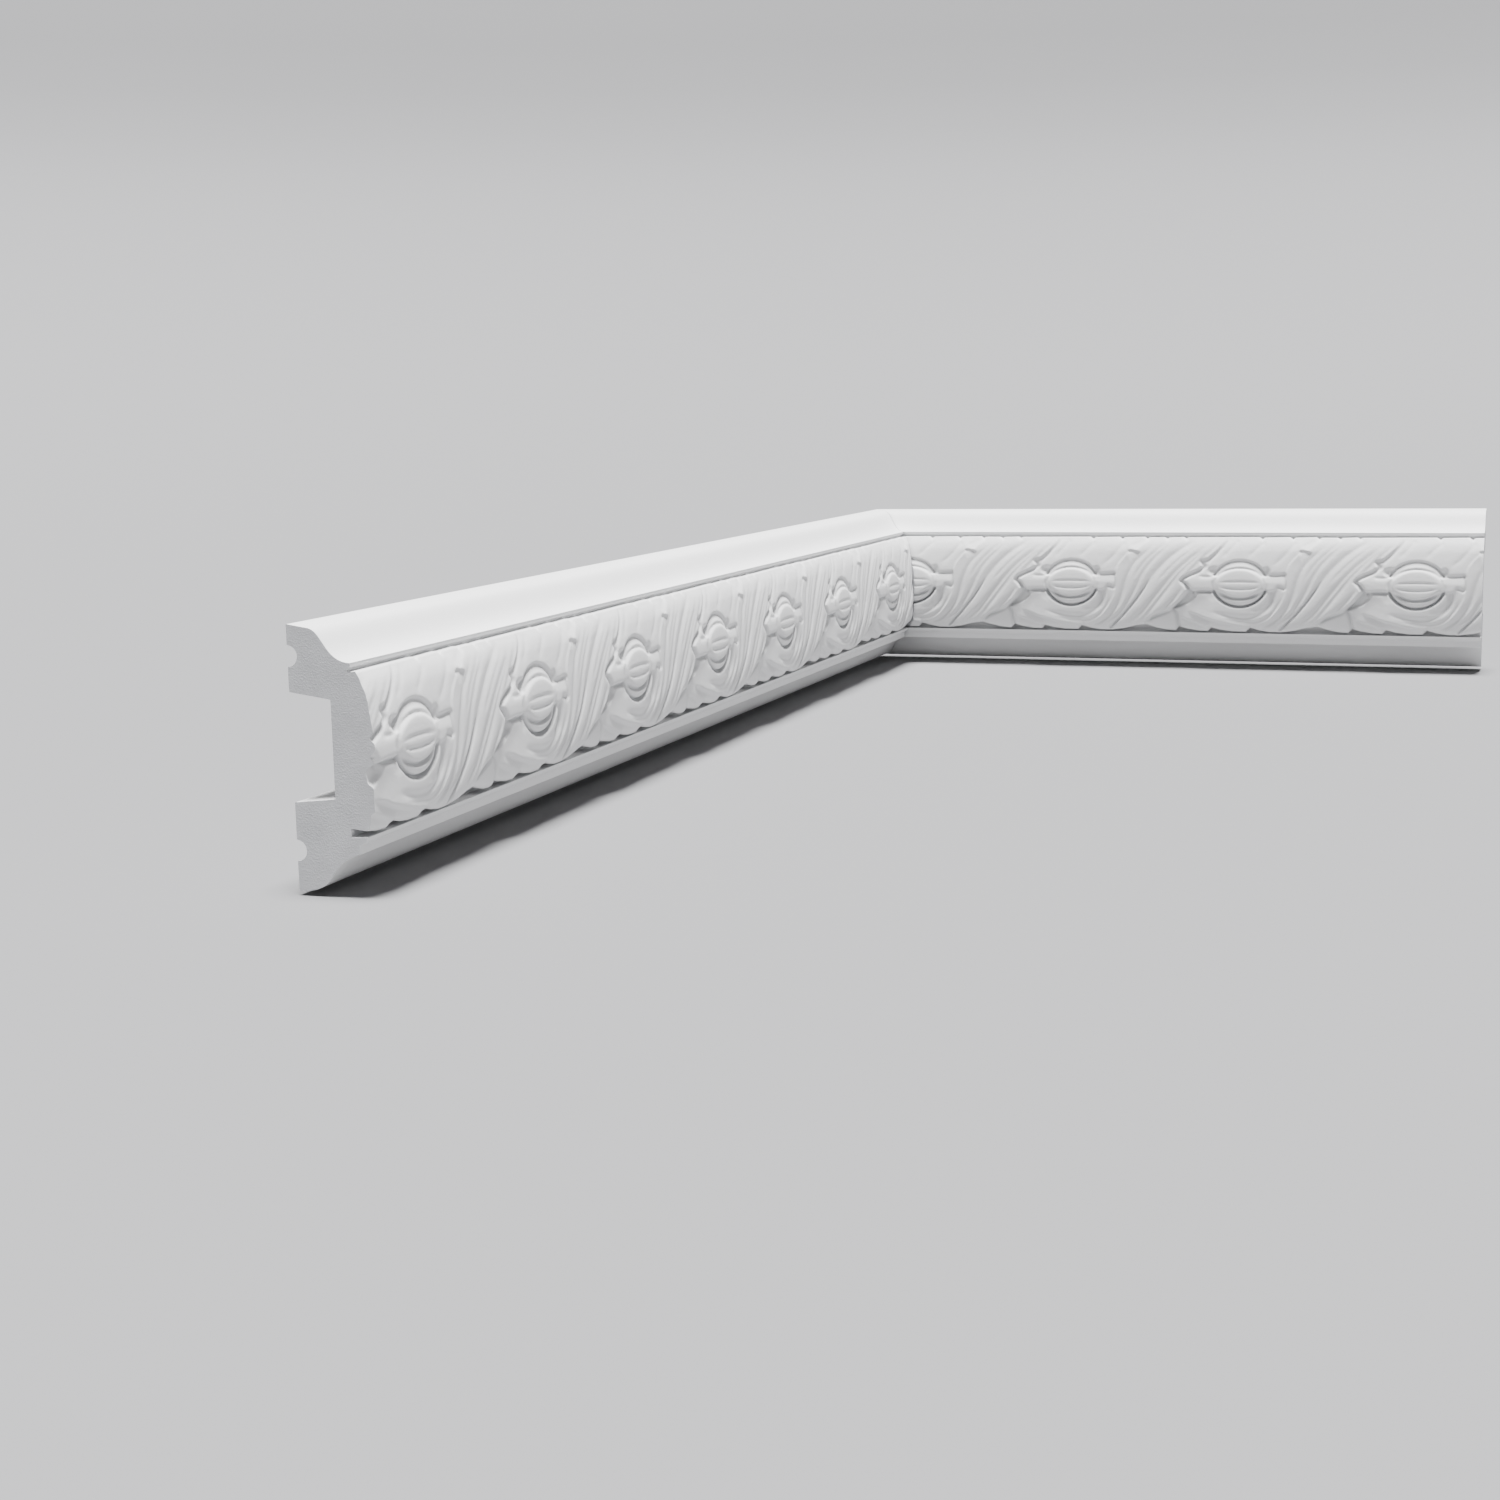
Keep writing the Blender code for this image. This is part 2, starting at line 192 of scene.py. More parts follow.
def edge_over(along, height, points, high, low, reach, wall, first, last):
    """A leaf's edge: proud on the left of its line, sunk on the right, with a steep wall."""
    apart, passed = from_line(along, height, freehand(points))
    up = ramp(-wall, wall, apart)
    proud = high * up * np.exp(-np.maximum(apart, 0.0) / reach)
    sunk = low * (1.0 - up) * np.exp(-np.maximum(-apart, 0.0) / reach)
    return (proud - sunk) * fade(passed, first, last)


def inside(along, height, outline):
    """How far a point lies inside a closed outline, negative outside it."""
    closed = np.array(list(outline) + [outline[0]], float)
    apart, _ = from_line(along, height, closed)
    u = to_nearest_copy(along, closed[:, 0].mean())
    crossings = np.zeros(u.shape, int)
    for (u0, z0), (u1, z1) in zip(closed[:-1], closed[1:]):
        if z0 == z1:
            continue
        between = (height >= min(z0, z1)) & (height < max(z0, z1))
        crossings += between & (u < u0 + (height - z0) / (z1 - z0) * (u1 - u0))
    return np.where(crossings % 2 == 1, np.abs(apart), -np.abs(apart))


square = ((0, 50), (10, 50), (10, 60), (0, 60))
print("inside a 10 mm square's middle by", inside(np.array([5.0]), np.array([55.0]), square)[0])

# %% [markdown]
# The frieze's ground
#
# Under the leaves the frieze swells gently, fullest below the middle. The edge of the fluted band
# is the one line that crosses the whole frieze: the band lies over the next pod's leaves, and
# its end is ragged like a torn leaf. Left of it is the band, and right of it are the leaves.

# %% Lines that both the ground and the leaves use
SWELL = ((22, 34.4), (27, 37.2), (32, 38.5), (40, 39.4), (50, 39.6), (58, 39.3), (66, 38.8),
         (74, 38.0), (82, 36.8), (87, 35.7), (91, 34.2), (96, 31.2))
BAND_EDGE = ((27, -69), (33, -68), (36, -64), (38.5, -58.5), (41, -52.5), (44, -49), (48, -44.5),
             (52, -41), (57, -37), (60.5, -39.3), (63.8, -42.5), (66, -40.5), (68.5, -35.5),
             (71, -30), (74, -26), (78, -27.8), (79.5, -22.5), (84, -17.5), (89, -13.0), (94, -9.5))
BAND_START = ((27, 8), (32, 15), (36, 21), (40, 24.5), (44, 27.5), (48, 30), (52, 32),
              (57, 33.2), (70, 33.5), (75, 35), (80, 38.5), (84, 42.5), (88, 50), (94, 58))


def as_line(points):
    """Turn (height, along) points into the (along, height) points of a line."""
    return np.array([(along, height) for height, along in points], float)


def ground(height):
    """Depth of the smooth swell under the ornament."""
    return smooth_value(height, SWELL)


print("the swell is fullest at", round(float(ground(np.array([50.0]))[0]), 1), "mm")

# %% [markdown]
# The fluted band
#
# The band is a fan of flutes that springs from under the cradling leaf and spreads to the top.
# One groove, near its middle, is cut much deeper than the rest. The ridges between the grooves
# are softly rounded, so each groove falls away on both sides over half of a flute's width. New
# flutes start part way up, where the fan has opened enough to need them.

# %% Carve the band
FLUTES = (
    ((8, 24), (15.5, 29), (24.5, 34), (30.5, 39), (35.5, 46), (38.5, 54), (40.5, 62), (43.5, 70),
     (48.5, 78), (57, 86), (66, 94)),
    ((17, 25), (27, 32), (37.5, 40), (44.3, 50), (48.5, 58), (52, 66), (57, 74), (65, 83), (78, 94)),
    ((45.5, 28), (54, 35), (60, 42), (67, 51), (74, 60), (81, 69), (90, 78), (104, 91)),
    ((36, 27), (46, 34), (55, 42), (61.5, 50), (68.5, 59), (76, 68), (84, 76), (95, 85), (106, 94)),
    ((51, 29.5), (62, 36.5), (72, 44.5), (77.5, 50.5), (81.5, 56), (84, 60)),
    ((84, 66), (89, 71.5), (95, 77.5), (104, 86), (112, 93)),
    ((63, 61), (69, 68), (77, 76.5), (88, 86), (97, 93)),
    ((47, 62), (50, 70), (55.5, 78), (65, 87), (73, 94)),
)
FLUTE_DEPTHS = (1.1, 0.9, 0.7, 0.9, 0.9, 0.7, 0.6, 0.6)
FLUTE_WIDTHS = (1.8, 1.9, 1.6, 1.8, 1.5, 1.6, 1.7, 1.6)
FLUTE_ENDS = (0.25, 0.25)
FLUTE_GAIN = 1.4
FLUTE_LOSS = 0.9
FLUTE_LOSS_HEIGHTS = (44.0, 74.0)
MAIN_GROOVE = ((28, 26.5), (33, 31.5), (39.5, 38), (44.5, 44), (49.3, 50), (54.7, 58), (60, 66),
               (66.7, 74), (75, 82), (85, 89), (94, 94))
MAIN_CUT = (3.4, 0.85, 0.03, 0.2)
MAIN_LOSS = 0.85
MAIN_LOSS_HEIGHTS = (54.0, 68.0)
BESIDE_CUT = (0.8, 2.8, 0.04, 0.1)
BAND_LIFT = 0.8


def band_depth(along, height):
    """Depth of the fluted band."""
    cut = np.zeros_like(along)
    for line, deep, wide in zip(FLUTES, FLUTE_DEPTHS, FLUTE_WIDTHS):
        cut = np.maximum(cut, gouge(along, height, line, deep, wide, *FLUTE_ENDS))
    cut = cut * (FLUTE_GAIN - FLUTE_LOSS * ramp(*FLUTE_LOSS_HEIGHTS, height))
    main = gouge(along, height, MAIN_GROOVE, *MAIN_CUT)
    main = main * (1.0 - MAIN_LOSS * ramp(*MAIN_LOSS_HEIGHTS, height))
    beside = gouge(along, height, MAIN_GROOVE, *BESIDE_CUT)
    return ground(height) + BAND_LIFT - np.maximum(np.maximum(cut, beside), main)


middle_of_band = band_depth(np.array([60.0]), np.array([60.0]))[0]
print("the band's depth at its middle:", round(float(middle_of_band), 1))

# %% [markdown]
# Leaves round the pod
#
# Three leaves lie round each pod. The upper leaf runs to the top edge and hooks over the start of
# the next band. The cradling leaf is a fat curl made of layers, and each layer ends in a tooth of
# the bottom edge. A small low lobe lies beside it. Between the band's ragged edge and the cradle
# an eye opens, deep beside the band, with a floor that slopes up to the cradle. The leaves' edges
# and veins are carved first, and the lobe, the eye and a small pocket are sunk into them.

# %% Lines of the leaves
LAYERS = (
    ((-39, 41.5), (-31, 39), (-25, 36.5), (-11, 32.6), (0, 30.6), (7.5, 29)),
    ((-43, 37), (-34, 33.4), (-28, 31.2), (-20.6, 28.8)),
)
CONTOURS = (
    ((-22, 41.5), (-8, 38), (5, 36.6), (13, 38.4), (19, 42.2), (22.6, 47), (24.4, 52), (25.2, 58)),
    ((-14, 36), (0, 34), (10, 33.4), (18, 35.6), (24, 40), (27.8, 46), (29.4, 53)),
    ((8, 41.5), (14.5, 42.5), (18.5, 46)),
)
CONTOUR_DEPTHS = (1.1, 0.9, 0.5)
CONTOUR_WIDTH = 1.5
CONTOUR_ENDS = (0.25, 0.2)
CHANNEL_BESIDE = ((24, 56), (23.6, 52), (22, 47.5), (19, 44), (14, 41.5))
TOP_VEINS = (
    ((5, 80.5), (11, 86.5), (18, 92.5)),
    ((22, 74), (30, 80.5), (38, 90), (40, 93)),
    ((-14, 80), (-7, 87), (-1, 94)),
    ((43, 88.5), (49, 91), (56, 94)),
)
print("layers, contours and veins:", len(LAYERS), len(CONTOURS), len(TOP_VEINS))

# %% Carve the layers and the veins
LAYER_STEP = {"high": 0.9, "low": 1.4, "reach": 5.0, "wall": 0.7, "first": 0.2, "last": 0.0}
CHANNEL_CUT = (2.2, 2.4, 0.0, 0.5)
VEIN_CUT = (0.4, 1.7, 0.3, 0.1)
LEAF_LIFT = 0.6
LOW_END_SINK = 2.6
LOW_END_ALONG = (-48.0, -18.0)
LOW_END_HEIGHTS = (48.0, 58.0)
BELLY_LIFT = 0.5
BELLY_MIDDLE = (-6.0, 37.0)
BELLY_SIZE = (20.0, 8.0)


def hump(along, height, middle, size):
    """A soft round hump, 1 at its middle."""
    across = ((along - middle[0]) / size[0]) ** 2
    return np.exp(-across - ((height - middle[1]) / size[1]) ** 2)


def veined_leaves(along, height):
    """Depth of the upper and the cradling leaf, with their layers and veins."""
    low_end = 1.0 - ramp(*LOW_END_ALONG, along)
    depth = ground(height) + LEAF_LIFT
    depth = depth - LOW_END_SINK * low_end * (1.0 - ramp(*LOW_END_HEIGHTS, height))
    depth = depth + BELLY_LIFT * hump(along, height, BELLY_MIDDLE, BELLY_SIZE)
    for line in LAYERS:
        depth = depth + edge_over(along, height, line, **LAYER_STEP)
    for line, deep in zip(CONTOURS, CONTOUR_DEPTHS):
        depth = depth - gouge(along, height, line, deep, CONTOUR_WIDTH, *CONTOUR_ENDS)
    depth = depth - gouge(along, height, CHANNEL_BESIDE, *CHANNEL_CUT)
    for line in TOP_VEINS:
        depth = depth - gouge(along, height, line, *VEIN_CUT)
    return depth


belly = veined_leaves(np.array([BELLY_MIDDLE[0]]), np.array([BELLY_MIDDLE[1]]))[0]
print("the cradling leaf's belly lies at", round(float(belly), 1), "mm from the wall")

# %% Sink the lobe, the eye and the pocket
CRADLE_LEFT = ((27, -43.5), (33, -44.8), (40, -46.3), (43.5, -48.5))
CRADLE_CUT = (2.0, 1.0, 0.0, 0.1)
LOBE_WALL = (-0.8, 1.0)
LOBE_TOP = (42.5, 44.5)
LOBE_SINK = 0.9
LOBE_HOLLOW = 1.1
LOBE_REACH = 3.0
EYE = ((-43.5, 62.8), (-42, 56), (-42, 52), (-45, 47.5), (-49.5, 43), (-46.5, 43.2), (-37.5, 47),
       (-32, 51.5), (-31.2, 54), (-33.5, 56.3), (-36.5, 58), (-39.5, 62))
EYE_WALL = (-0.6, 0.9)
EYE_SINK = 5.8
EYE_RISE = 3.0
EYE_FLOOR = (-46.0, -30.0)
EYE_SLANT = 0.45
EYE_HEIGHT = 50.0
POCKET = ((-28.5, 79), (-27, 73), (-23, 73.5), (-21.5, 79))
POCKET_WALL = (-0.8, 1.8)
POCKET_SINK = 0.4


def leaf_depth(along, height):
    """Depth of all that lies round the pod."""
    base = ground(height)
    depth = veined_leaves(along, height)
    wall = smooth_value(height, CRADLE_LEFT) - along
    lobe = ramp(*LOBE_WALL, wall) * (1.0 - ramp(*LOBE_TOP, height))
    lobe_face = base - LOBE_SINK - LOBE_HOLLOW * np.exp(-np.maximum(wall, 0.0) / LOBE_REACH)
    depth = depth + (lobe_face - depth) * lobe
    depth = depth - gouge(along, height, as_line(CRADLE_LEFT), *CRADLE_CUT)
    deep_eye = ramp(*EYE_WALL, inside(along, height, EYE))
    slope = ramp(*EYE_FLOOR, along - EYE_SLANT * (height - EYE_HEIGHT))
    depth = depth + (base - EYE_SINK + EYE_RISE * slope - depth) * deep_eye
    return depth - POCKET_SINK * ramp(*POCKET_WALL, inside(along, height, POCKET))


eye_floor = leaf_depth(np.array([-40.0]), np.array([52.0]))[0]
print("the floor of the eye lies at", round(float(eye_floor), 1), "mm from the wall")

# %% [markdown]
# Stalks
#
# Each pod sits on a stalk. On the left the stalk swells into a pointed calyx whose tip lies on the
# band behind it. On the right it is a flat tongue that ends in a notch. Both are drawn as closed
# outlines and raised a little above the leaves, and thin gouges run along their sides.

# %% Carve the stalks
STALK_WALL = (-0.5, 0.6)
STALK_LIFT = 0.4
CALYX = ((-14, 71), (-27, 71.5), (-34, 70), (-38.5, 67.2), (-42.4, 64), (-38.5, 61.2),
         (-36.3, 58.2), (-34, 56), (-27, 56.4), (-14, 56.4))
CALYX_TIP_RISE = 0.5
CALYX_TIP = (-44.0, -32.0)
CALYX_CROWN = 0.3
CALYX_CROWN_WALL = (-0.5, 2.5)
CALYX_TOP = (62.0, 72.0)
TONGUE = ((14, 68), (26, 68.1), (33.5, 68.8), (33.5, 57.6), (31.5, 58.6), (27.5, 60.1),
          (26, 57.8), (24, 56.6), (14, 56))
TONGUE_CROWN = 0.4
TONGUE_CROWN_WALL = (-0.5, 1.6)
TONGUE_TILT = 0.7
TONGUE_TILT_HEIGHTS = (62.0, 68.0)
STALK_GROOVES = (
    (((20, 68.3), (26, 68.2), (34, 68.8)), (1.4, 0.8, 0.1, 0.1)),
    (((33.6, 69), (33.4, 63), (33.2, 57.5)), (0.9, 0.8, 0.1, 0.1)),
    (((26.5, 59.6), (29, 59.3), (33, 57.6)), (1.3, 0.8, 0.2, 0.1)),
    (((-31, 67.4), (-25, 66.8), (-19, 67)), (0.6, 1.0, 0.3, 0.1)),
    (((-35, 55.6), (-28, 56), (-19, 55.8)), (3.0, 0.9, 0.1, 0.1)),
)


def add_stalks(along, height, depth):
    """Raise the calyx and the tongue above the leaves, with a groove along each side."""
    form = inside(along, height, CALYX)
    calyx = ground(height) + STALK_LIFT + CALYX_TIP_RISE * ramp(*CALYX_TIP, along)
    calyx = calyx + CALYX_CROWN * ramp(*CALYX_CROWN_WALL, form)
    calyx = depth + (calyx - depth) * (1.0 - ramp(*CALYX_TOP, height))
    depth = depth + (calyx - depth) * ramp(*STALK_WALL, form)
    form = inside(along, height, TONGUE)
    tongue = ground(height) + STALK_LIFT + TONGUE_CROWN * ramp(*TONGUE_CROWN_WALL, form)
    tongue = tongue - TONGUE_TILT * ramp(*TONGUE_TILT_HEIGHTS, height)
    depth = depth + (tongue - depth) * ramp(*STALK_WALL, form)
    for line, cut in STALK_GROOVES:
        depth = depth - gouge(along, height, line, *cut)
    return depth


print("grooves beside the stalks:", len(STALK_GROOVES))

# %% [markdown]
# Pod
#
# The pod is a ribbed oval, like a small melon, that lies on a low oval shelf. The shelf stands in a
# cup, with a thin dark gap round it, and the cup is bridged by the stalks on both sides. Small
# pockets widen the gap where the stalks leave it. Each pocket is a soft oval, given by its middle,
# its level, its two half sizes and its depth. The cup and the melon are ovals too, and a point's
# reach tells how far out it lies in them. The ribs are cut between turns of a round body.

# %% Sink the cup and its pockets
POD_HEIGHT = 61.8
POD_HALF_LENGTH = 19.2
POD_HALF_HEIGHT = 16.4
CUP_DEPTH = 34.7
CUP_WALL = (1.02, 1.10)
CUP_RISE = 1.6
CUP_RISE_HEIGHTS = (60.0, 76.0)
BRIDGE_LIFT = 5.0
BRIDGE_SHIFT = 0.4
BRIDGE_SIDE = (4.4, 6.0)
BRIDGE_START = (15.0, 17.0)
POCKETS = (
    (-18.8, 53.2, 4.6, 4.4, 0.4),
    (-18.6, 71.0, 4.4, 3.2, 1.8),
    (19.0, 70.6, 2.6, 3.4, 1.8),
)
POCKET_FALL = (0.3, 1.3)


def on_bridge(along, height):
    """1 where a stalk bridges the cup, 0 away from it."""
    off = np.abs(height - POD_HEIGHT - BRIDGE_SHIFT)
    return (1.0 - ramp(*BRIDGE_SIDE, off)) * ramp(*BRIDGE_START, np.abs(along))


def cup_reach(along, height):
    """How far a point lies out from the cup's middle, 1 at the shelf's edge."""
    return np.hypot(along / POD_HALF_LENGTH, (height - POD_HEIGHT) / POD_HALF_HEIGHT)


def sink_cup(along, height, depth):
    """Cut the pockets and the cup into the leaves."""
    for middle, level, half_wide, half_high, deep in POCKETS:
        away = np.hypot((along - middle) / half_wide, (height - level) / half_high)
        depth = depth - deep * (1.0 - ramp(*POCKET_FALL, away))
    reach = cup_reach(along, height)
    floor = CUP_DEPTH + CUP_RISE * ramp(*CUP_RISE_HEIGHTS, height)
    floor = floor + BRIDGE_LIFT * on_bridge(along, height)
    cup = floor + (depth - floor) * ramp(*CUP_WALL, reach)
    return np.where(reach < CUP_WALL[1], np.minimum(depth, cup), depth)


print("the cup is", 2 * POD_HALF_LENGTH, "mm long and", 2 * POD_HALF_HEIGHT, "mm high")

# %% Carve the ribbed melon
MELON_HEIGHT = 61.9
MELON_HALF_LENGTH = 17.2
MELON_HALF_HEIGHT = 11.2
MELON_LIFT = 1.3
MELON_DOME = 0.55
DOME_POWER = 2.6
BODY_LENGTH = 1.02
BODY_LEAST = 0.02
RIB_FIRST = math.radians(-21.0)
RIB_STEP = math.radians(29.0)
RIB_LAST = math.radians(31.0)
RIB_CUTS = ((58.5, 1.3), (64.0, 0.8))
RIB_WIDTH = 0.28
RIB_ENDS = (0.5, 0.9)


def melon_reach(along, height):
    """How far a point lies out from the melon's middle, 1 at its edge."""
    return np.hypot(along / MELON_HALF_LENGTH, (height - MELON_HEIGHT) / MELON_HALF_HEIGHT)


def melon_depth(along, height):
    """Depth of the low dome of the melon, with its ribs cut in."""
    reach = melon_reach(along, height)
    dome = np.sqrt(np.clip(1.0 - reach ** DOME_POWER, 0.0, 1.0))
    body = 1.0 - (along / (BODY_LENGTH * MELON_HALF_LENGTH)) ** 2
    narrow = np.sqrt(np.clip(body, BODY_LEAST, 1.0))
    off = (height - MELON_HEIGHT) / MELON_HALF_HEIGHT
    turn = np.arcsin(np.clip(off / narrow, -1.0, 1.0))
    between = np.abs(np.sin(math.pi * (turn - RIB_FIRST) / RIB_STEP))
    fade_out = 1.0 - ramp(*RIB_ENDS, np.abs(along) / MELON_HALF_LENGTH)
    line_cut = smooth_value(height, RIB_CUTS) * np.exp(-(between / RIB_WIDTH) ** GROOVE_POWER)
    ribs = line_cut * fade_out * (np.abs(turn) < RIB_LAST)
    return ground(height) + MELON_LIFT + MELON_DOME * dome - ribs


print("the melon is", 2 * MELON_HALF_LENGTH, "mm long and", 2 * MELON_HALF_HEIGHT, "mm high")

# %% Set the pod in its cup
SHELF_LIFT = 1.0
SHELF_LOW_LIFT = 0.5
SHELF_LOW_HEIGHTS = (56.0, 48.0)
SHELF_FALL = 1.3
SHELF_SLOPE = (0.72, 1.0)
SHELF_EDGE = (0.97, 1.01)
MELON_EDGE = (0.97, 1.02)
MELON_CREASE = 1.5
CREASE_GAIN = 2.0
CREASE_LOSS = 1.4
CREASE_LOSS_HEIGHTS = (55.0, 70.0)
CREASE_ENDS = (0.6, 0.95)
CREASE_WIDTH = 0.07


def crease_depth(along, height):
    """How much the groove between the melon and its shelf takes away."""
    deep = MELON_CREASE * (CREASE_GAIN - CREASE_LOSS * ramp(*CREASE_LOSS_HEIGHTS, height))
    deep = deep * (1.0 - on_bridge(along, height))
    deep = deep * (1.0 - ramp(*CREASE_ENDS, np.abs(along) / MELON_HALF_LENGTH))
    return deep * np.exp(-((melon_reach(along, height) - 1.0) / CREASE_WIDTH) ** 2)


def add_pod(along, height, depth):
    """Sink the cup, and set the shelf and the ribbed melon in it."""
    depth = sink_cup(along, height, depth)
    reach = cup_reach(along, height)
    shelf_fall = SHELF_FALL * ramp(*SHELF_SLOPE, reach) * (1.0 - on_bridge(along, height))
    shelf = ground(height) + SHELF_LIFT + SHELF_LOW_LIFT * ramp(*SHELF_LOW_HEIGHTS, height)
    shelf = shelf - shelf_fall
    on_melon = 1.0 - ramp(*MELON_EDGE, melon_reach(along, height))
    pod = shelf + (melon_depth(along, height) - shelf) * on_melon
    pod = pod - crease_depth(along, height)
    return depth + (pod - depth) * (1.0 - ramp(*SHELF_EDGE, reach))


pod_level = np.array([POD_HEIGHT])
pod_middle = add_pod(np.zeros(1), pod_level, ground(pod_level))[0]
print("the pod stands", round(float(pod_middle), 1), "mm out of the wall")

# %% [markdown]
# One repeat of the relief
#
# The leaves and the band are joined at two lines. At the band's ragged edge the surface drops in
# one steep wall from the band to the leaves beyond, with a thin gap at its foot. At the band's
# start it steps up a little, and the hooked leaf above overlaps it. The drop is kept about a
# millimetre wide, because a cast foam edge is never a knife edge.

# %% Sizes of the joins
EDGE_WALL = 1.3
EDGE_GAP = ((27, 0.6), (33, 1.6), (37, 2.8), (42, 2.6), (52, 1.6), (58, 2.2), (66, 2.5), (74, 1.9),
            (80, 1.6), (87, 0.9), (94, 0.2))
EDGE_GAP_WIDTH = 1.0
UNDER_EDGE = 0.9
UNDER_EDGE_HEIGHTS = (56.0, 60.0)
UNDER_EDGE_REACH = 2.4
ROLLED_EDGE = 0.4
ROLL_FOOT = (40.0, 44.0)
ROLL_TOP = (58.0, 52.0)
ROLL_REACH = 3.0
START_STEP = 0.3
START_STEP_REACH = 4.0
START_STEP_FOOT = (30.0, 50.0)
START_STEP_TOP = (80.0, 88.0)
START_WALL = (-0.5, 0.8)
HOOK_LIP = ((41.5, 85.6), (44, 86.2), (47.5, 85.7), (51.5, 84.4))
HOOK_STEP = {"high": 0.5, "low": 0.9, "reach": 4.0, "wall": 0.6, "first": 0.25, "last": 0.1}
HOOK_SWELL = 0.5
HOOK_MIDDLE = (44.0, 85.5)
HOOK_SIZE = (8.0, 5.0)
TOP_NOTCHES = (-54, -40, 15.5, 37.5, 56)
NOTCH = ((-1.8, 96.2), (0, 95), (2.2, 93.6))
NOTCH_CUT = (1.3, 0.9, 0.0, 0.4)
print("the gap at the band's edge is at most", max(deep for _, deep in EDGE_GAP), "mm deep")


# %% Join the pieces of the relief
def all_leaves(along, height, from_edge, near_left):
    """The leaves with the stalks and the pod, sunk a little beside the band's ragged edge."""
    leaves = leaf_depth(along, height)
    upper = ramp(*UNDER_EDGE_HEIGHTS, height)
    leaves = leaves - UNDER_EDGE * upper * np.exp(-from_edge / UNDER_EDGE_REACH) * near_left
    leaves = add_stalks(along, height, leaves)
    return add_pod(along, height, leaves)


def add_hook(along, height, depth):
    """Lay the hooked leaf over the band's start, and notch the top edge."""
    hook = edge_over(along, height, HOOK_LIP, **HOOK_STEP)
    depth = depth + hook + HOOK_SWELL * hump(along, height, HOOK_MIDDLE, HOOK_SIZE)
    for middle in TOP_NOTCHES:
        notch = [(middle + aside, level) for aside, level in NOTCH]
        depth = depth - gouge(along, height, notch, *NOTCH_CUT)
    return depth


def relief(along, height):
    """Depth of the whole ornament at any place along a length."""
    edge = cornered_value(height, BAND_EDGE)
    along = edge + np.mod(along - edge, REPEAT)
    from_edge = np.abs(from_line(along, height, as_line(BAND_EDGE))[0])
    near_left = along - edge < 0.5 * REPEAT
    leaves = all_leaves(along, height, from_edge, near_left)
    past_start = along - smooth_value(height, BAND_START)
    step = START_STEP * np.exp(-np.maximum(past_start, 0.0) / START_STEP_REACH)
    step = step * ramp(*START_STEP_FOOT, height)
    band = band_depth(along, height) + step * (1.0 - ramp(*START_STEP_TOP, height))
    depth = leaves + (band - leaves) * ramp(*START_WALL, past_start)
    depth = add_hook(along, height, depth)
    roll = ROLLED_EDGE * ramp(*ROLL_FOOT, height) * ramp(*ROLL_TOP, height)
    depth = depth + roll * np.exp(-from_edge / ROLL_REACH) * (~near_left)
    over_leaf = 1.0 - ramp(0.0, EDGE_WALL, from_edge)
    band_above = band_depth(along + REPEAT, height) + roll
    depth = np.where(near_left, depth + (np.maximum(band_above, depth) - depth) * over_leaf, depth)
    return depth - smooth_value(height, EDGE_GAP) * np.exp(-(from_edge / EDGE_GAP_WIDTH) ** 2)


sample = relief(np.array([0.0, 20.8, 60.0]), np.array([61.8, 61.8, 50.0]))
print("depth on the pod, beside it and on the band:", np.round(sample, 1))

# %% [markdown]
# The two edges of the ornament
#
# The leaves do not end in a straight line. Along the bottom their teeth hang over a dark recess
# above a narrow ledge. Along the top they end nearly straight under the fillet, with a few small
# ticks. The rows of the mesh are bent to follow both edges, and straighten out within a few
# millimetres.

# %% Edges of one repeat
BOTTOM_EDGE = ((-69, 30.5), (-62, 28.2), (-55, 26.6), (-47, 25.9), (-44.6, 28.9), (-38, 27.2),
               (-30, 26.0), (-23, 25.9), (-20.4, 28.9), (-14, 27.1), (-5, 25.9), (4.8, 25.8),
               (8, 29.2), (14, 27.2), (22, 25.9), (31, 25.9), (40, 27.2), (48, 29.4))
TOP_EDGE = ((-56, 95.4), (-54, 94.2), (-52.5, 95.3), (-42, 95.6), (-40, 94.4), (-38.5, 95.4),
            (13, 95.7), (15.5, 94.0), (17.2, 95.4), (35, 95.7), (37.5, 94.0), (39.2, 95.4),
            (54, 95.7), (56, 94.2), (57.8, 95.4))
BOTTOM_SHIFT = 0.4
FIRST_ROW = 27.0
LAST_ROW = 94.0
EDGE_PULL = 6.0
TUCK = 1.6
TUCK_REACH = 1.3
RECESS = (26.5, 24.6)
RECESS_STEPS = (0.8, 0.35)
UPPER_FILLET_DEPTH = 29.6
UPPER_GAP_SINKS = (1.6, 1.6, 0.0)
UPPER_GAP_STEP = 0.3
UPPER_GAP_HEIGHTS = (96.4, 97.3)
print("points on the two edges:", len(BOTTOM_EDGE), len(TOP_EDGE))

# %% Carve one repeat
SOFTNESS = 0.33


def soften(depth, cell):
    """Blur the relief by about a third of a millimetre, as primer rounds every arris."""
    side = min(0.25, 0.5 * (SOFTNESS / cell) ** 2)
    padded = np.pad(depth, ((1, 1), (0, 0)), mode="edge")
    across = side * padded[:-2] + (1 - 2 * side) * padded[1:-1] + side * padded[2:]
    return side * np.roll(across, 1, 1) + (1 - 2 * side) * across + side * np.roll(across, -1, 1)


